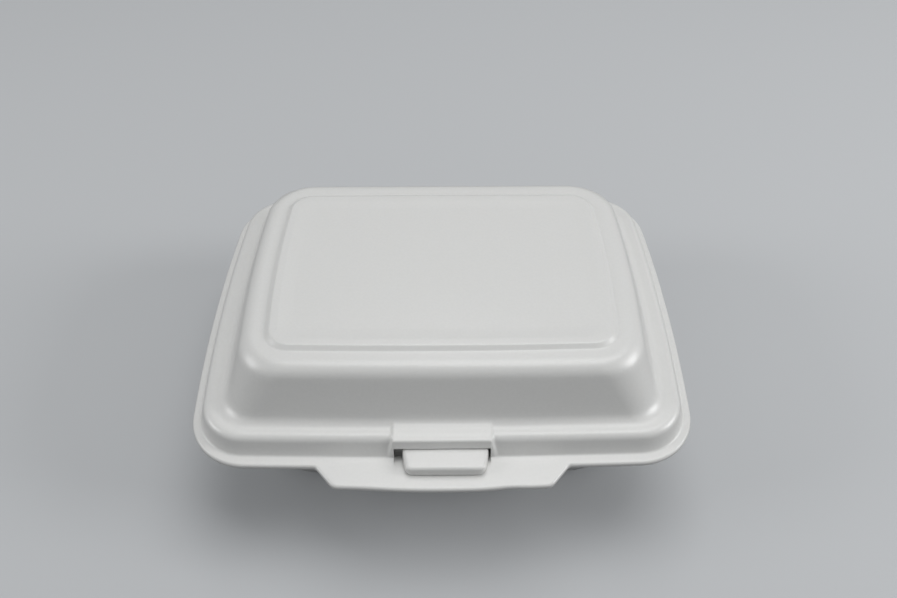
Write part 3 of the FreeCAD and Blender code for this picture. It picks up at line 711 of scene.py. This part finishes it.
@dataclass
class Tub:
    """Tub: flat rim, raised bead that the lid's ledge covers, leaning walls, pushed-up floor."""

    outline: Outline
    sheet: float = 2.2
    rim: float = 42.5
    setback: float = 2.5
    bead: float = 46.5
    kick: float = 1.3
    reach_depth: float = 3.5
    reach_width: float = 6.0
    crease: Crease = Crease()

    def inside(self) -> list[Bend]:
        """Section of the inside and upper face, from the floor's middle out to the rim."""
        return [
            Bend(39.0, 39.0, self.sheet + self.kick, 6.0, 0.0, 1),
            Bend(36.9, 36.9, self.sheet + self.kick, 8.0, 0.9, 1),
            Bend(34.9, 34.9, self.sheet, 10.0, 0.9, 3),
            Bend(23.26, 23.26, self.sheet, 17.8, 7.8, 14),
            Bend(13.16, 13.16, self.bead, 10.8, 1.4, 3),
            Bend(7.7, 8.9, self.bead, 12.9, 1.4, 3),
            Bend(6.6, 7.8, self.rim, 14.0, 0.5, 4),
            Bend(self.setback, self.setback, self.rim, 20.0, 0.6, 2),
        ]

    def outside(self) -> list[Bend]:
        """Section of the underside, from the rim's cut edge in to the floor's middle."""
        under = self.rim - self.sheet
        return [
            Bend(self.setback, self.setback, under, 20.0, 0.4, 3),
            Bend(8.28, 9.48, under, 12.9, 0.5, 2),
            Bend(9.2, 10.4, under + 3.4, 12.0, 0.6, 1),
            Bend(11.5, 11.5, under + 3.4, 12.5, 0.3, 2),
            Bend(12.3, 12.3, under, 13.5, 0.0, 12),
            Bend(21.5, 21.5, 0.0, 20.0, 10.0, 4),
            Bend(36.0, 36.0, 0.0, 10.0, 0.6, 1),
            Bend(38.0, 38.0, self.kick, 8.0, 0.6, 1),
            Bend(40.0, 40.0, self.kick, 6.0, 0.0, 1),
        ]

    def press_crease(self, points: np.ndarray) -> np.ndarray:
        """Presses the rim's back edge thin from below where it meets the hinge."""
        line = self.outline.behind + self.outline.centre
        under = self.rim - self.sheet
        share = np.clip((self.rim - points[:, :, 2]) / self.sheet, 0, 1)
        flange = (points[:, :, 2] > under - 0.01) & (points[:, :, 2] < self.rim + 0.01)
        rise = (self.sheet - self.crease.sheet) * self.crease.window(points, line) * share
        points[:, :, 2] += np.where(flange, rise, 0.0)
        return points

    def reach_hinge(self, points: np.ndarray, rows: np.ndarray) -> np.ndarray:
        """Moves the rim's back edge out to the hinge line; elsewhere it stays set back."""
        back = points[:, :, 1] > 0
        share = np.clip(1 - (rows[:, 1] - self.setback) / self.reach_depth, 0, 1)[:, None]
        beyond = np.abs(points[:, :, 0]) - self.crease.half
        across = np.clip(1 - beyond / self.reach_width, 0, 1)
        points[:, :, 1] += np.where(back, self.setback * share * across, 0.0)
        return points

    def build(self) -> bpy.types.Object:
        """Makes the tub's mesh.

        Returns:
            The tub, in place.
        """
        rows = section(self.inside() + self.outside())
        points = self.outline.rings(rows)
        points = self.reach_hinge(points, rows)
        points = self.press_crease(points)
        floor, foot = closing(points[0], INWARD[::-1]), closing(points[-1], INWARD)
        points = np.concatenate([floor, points, foot])
        faces = sheet_faces(len(points), points.shape[1])
        return mesh_object("tub_moulding", with_middles(points), faces)


@dataclass
class Tongue:
    """Tongue that stands on the tub's bead and comes out through the slot, hollow below."""

    middle: float = 1.1
    half: float = 15.1
    end_half: float = 13.7
    root: float = -55.2
    waist: float = -62.55
    tip: float = -70.1
    under: float = 45.3
    top: float = 48.9
    lean: float = 0.25
    foot_corner: float = 3.4
    top_corner: float = 1.8
    edge: float = 1.2
    sheet: float = 2.0
    seat: float = 46.52
    seat_front: float = -58.9
    crown: float = 0.22
    droop: float = 0.2
    spans: int = 8

    def plan(self, inset: float, corner: float) -> np.ndarray:
        """Outline of the tongue seen from above.

        Args:
            inset: How far inside the foot of its walls the outline runs.
            corner: Radius of its corners.

        Returns:
            Points (x, y), anticlockwise from the front left corner.
        """
        ends = [(self.end_half, self.tip), (self.half, self.waist), (self.half, self.root)]
        right = np.array(ends)
        corners = np.concatenate([right, (right * [-1, 1])[::-1]])
        edges = np.roll(corners, -1, axis=0) - corners
        edges /= np.linalg.norm(edges, axis=1)[:, None]
        inward = np.stack([-edges[:, 1], edges[:, 0]], axis=1)
        before = np.roll(inward, 1, axis=0)
        shift = (inward + before) / (1 + np.sum(inward * before, axis=1))[:, None]
        shrunk = corners + inset * shift
        path = np.concatenate([shrunk[-1:], shrunk, shrunk[:1]])
        offsets, _ = rounded_path(path, [corner] * len(path), ARC_SPANS)
        arcs = [path[n] + offsets[n] for n in range(1, len(path) - 1)]
        ring: list[np.ndarray] = []
        for arc, ahead in zip(arcs, arcs[1:] + arcs[:1]):
            ring.extend(arc)
            straight = ahead[0] - arc[-1]
            ring.extend(arc[-1] + straight * k / self.spans for k in range(1, self.spans))
        return np.array(ring)

    def build(self) -> bpy.types.Object:
        """Makes the tongue's mesh.

        Returns:
            The tongue, in place on the tub's bead.
        """
        roof, wall = self.top - self.sheet, self.lean + self.sheet
        bends = [
            Bend(4.6, 4.6, roof, 0.6, 0.0, 1),
            Bend(wall, wall, roof, 0.6, 0.5, 2),
            Bend(self.sheet, self.sheet, self.under, 0.6, 0.2, 1),
            Bend(0.0, 0.0, self.under, self.foot_corner, 0.25, 3),
            Bend(self.lean, self.lean, self.top, self.top_corner, self.edge, 3),
            Bend(5.0, 5.0, self.top, 1.4, 0.0, 1),
        ]
        rows = section(bends)
        rings = []
        for inset, _, level, corner in rows:
            plan = self.plan(inset, corner)
            rings.append(np.column_stack([plan, np.full(len(plan), level)]))
        points = np.stack(rings)
        below, above = closing(points[0], [0.5]), closing(points[-1], [0.6, 0.3])
        points = np.concatenate([below, points, above])
        across, ahead = points[:, :, 0] / self.half, self.waist - points[:, :, 1]
        upper = np.clip((points[:, :, 2] - roof) / self.sheet, 0, 1)
        sag = self.droop * np.clip(ahead / (self.waist - self.tip), 0, 1) ** 2
        points[:, :, 2] += upper * (self.crown * (1 - across**2) - sag)
        seated = points[:, :, 1] > self.seat_front
        points[:, :, 2] = np.where(seated, np.maximum(points[:, :, 2], self.seat), points[:, :, 2])
        points[:, :, 0] += self.middle
        return mesh_object("tongue_moulding", with_middles(points), sheet_faces(*points.shape[:2]))


@dataclass
class Hinge:
    """Pressed crease at the back, a thin strip that bulges when shut and lies flat when open."""

    line: float = 74.3
    level: float = 42.65
    radius: float = 1.25
    leg: float = 0.2
    crease: Crease = Crease()
    turns: int = 16
    lengths: int = 44

    def build(self) -> bpy.types.Object:
        """Makes the crease's mesh.

        Its bulge is such that each line of it, turned by its own share of the opening, ends up
        in the joint between the two rims.

        Returns:
            The crease, shut.
        """
        share = np.linspace(0, 1, self.turns + 1)
        rise = -2 * self.radius * np.sin(np.arcsin(1 - 2 * share) / 3)
        turn = math.pi * (share - 0.5)
        flat = np.abs(turn) < 1e-6
        deepest = 4 * self.radius / 3 / math.pi
        out = np.where(flat, deepest, rise / np.tan(np.where(flat, 1.0, turn)))
        x = np.linspace(-self.crease.half, self.crease.half, self.lengths + 1)
        bulge = np.stack([self.line + out, self.level + rise], axis=1)
        profile = np.concatenate([bulge[:1] - [self.leg, 0], bulge, bulge[-1:] - [self.leg, 0]])
        points = np.array([(place, y, z) for place in x for y, z in profile])
        columns = len(profile)
        faces = [tuple(range(columns))]
        faces.append(tuple(self.lengths * columns + n for n in range(columns))[::-1])
        for k in range(self.lengths):
            for n in range(columns):
                m = (n + 1) % columns
                a, b = k * columns, (k + 1) * columns
                faces.append((a + n, b + n, b + m, a + m))
        crease = mesh_object("hinge_crease", points, faces)
        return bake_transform(crease)


@dataclass(frozen=True)
class Softbox:
    """Soft rectangular light: its place, size and aim in metres, and its power in watts."""

    name: str
    place: tuple[float, float, float]
    size: tuple[float, float]
    power: float
    aim: tuple[float, float, float] = (0.0, 0.0, 0.04)

    def build(self) -> None:
        """Hangs the light, facing the container's middle."""
        data = bpy.data.lights.new(self.name, "AREA")
        data.shape = "RECTANGLE"
        data.size, data.size_y = self.size
        data.energy = self.power
        light = bpy.data.objects.new(self.name, data)
        light.location = self.place
        facing = Vector(self.aim) - Vector(self.place)
        light.rotation_euler = facing.to_track_quat("-Z", "Y").to_euler()
        bpy.context.scene.collection.objects.link(light)


@dataclass
class Studio:
    """Plain pale floor, soft lights and the camera."""

    lens: float = 30.61
    sensor: float = 36.0
    eye: tuple[float, float, float] = (1.1, -201.55, 278.1)
    pitch: float = 47.52
    yaw: float = 0.44
    sky: float = 0.32
    sky_colour: str = "#f4f6f8"
    floor_half: float = 3.0
    floor_shown: str = "#c4c6c8"
    floor_bounced: str = "#7a7b7d"
    lights: tuple[Softbox, ...] = (
        Softbox("overhead_softbox", (0.15, 0.25, 1.25), (1.0, 0.8), 6.2),
        Softbox("right_softbox", (1.1, -0.15, 0.6), (0.45, 0.45), 5.4),
        Softbox("left_softbox", (-1.1, -0.15, 0.6), (0.45, 0.45), 3.2),
    )

    def build_floor(self) -> None:
        """Makes the pale floor, which bounces less light than it shows."""
        half = self.floor_half
        mesh = bpy.data.meshes.new("floor")
        corners = [(-half, -half, 0), (half, -half, 0), (half, half, 0), (-half, half, 0)]
        mesh.from_pydata(corners, [], [(0, 1, 2, 3)])
        floor = bpy.data.objects.new("floor", mesh)
        bpy.context.scene.collection.objects.link(floor)
        material = bpy.data.materials.new("Seamless paper, matt")
        material.use_nodes = True
        tree = material.node_tree
        tree.nodes.clear()
        rays = add_node(tree, "ShaderNodeLightPath", {}, {})
        shown = add_node(tree, "ShaderNodeBsdfDiffuse", {"Color": linear(self.floor_shown)}, {})
        bounced = add_node(tree, "ShaderNodeBsdfDiffuse", {"Color": linear(self.floor_bounced)}, {})
        mixed = add_node(
            tree,
            "ShaderNodeMixShader",
            {},
            {
                0: rays.outputs["Is Camera Ray"],
                1: bounced.outputs["BSDF"],
                2: shown.outputs["BSDF"],
            },
        )
        add_node(tree, "ShaderNodeOutputMaterial", {}, {"Surface": mixed.outputs["Shader"]})
        floor.data.materials.append(material)

    def build(self) -> None:
        """Sets up the floor, the lights, the world and the camera."""
        self.build_floor()
        for light in self.lights:
            light.build()
        world = bpy.data.worlds.new("studio")
        world.use_nodes = True
        background = world.node_tree.nodes["Background"]
        background.inputs["Color"].default_value = linear(self.sky_colour)
        background.inputs["Strength"].default_value = self.sky
        bpy.context.scene.world = world
        data = bpy.data.cameras.new("camera")
        data.lens = self.lens
        data.sensor_width = self.sensor
        camera = bpy.data.objects.new("camera", data)
        camera.location = Vector(self.eye) * MM
        camera.rotation_euler = Euler((math.radians(90 - self.pitch), 0, -math.radians(self.yaw)))
        bpy.context.scene.collection.objects.link(camera)
        bpy.context.scene.camera = camera
        bpy.context.scene.view_settings.view_transform = "Standard"


def main() -> None:
    """Builds and dresses every piece, then the studio."""
    logging.basicConfig(level=logging.INFO)
    foam = PolystyreneFoam().make()
    outline = Outline()
    lid, tub, tongue = Lid(outline).build(), Tub(outline).build(), Tongue().build()
    ridden = ((lid, Body.LID, "lid"), (tub, Body.TUB, "base"), (tongue, Body.TUB, "latch_tongue"))
    for number, (piece, body, node) in enumerate(ridden):
        for size, depth, shift in UNEVENNESS:
            settle(piece, size, depth, shift * number)
        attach(piece, body.value)
        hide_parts(node)
    hinge = Hinge().build()
    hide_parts("hinge_web")
    for piece in (lid, tub, tongue, hinge):
        piece.data.materials.append(foam)
        LOG.info("%s: %d faces", piece.name, len(piece.data.polygons))
    Studio().build()


if __name__ == "__main__":
    main()
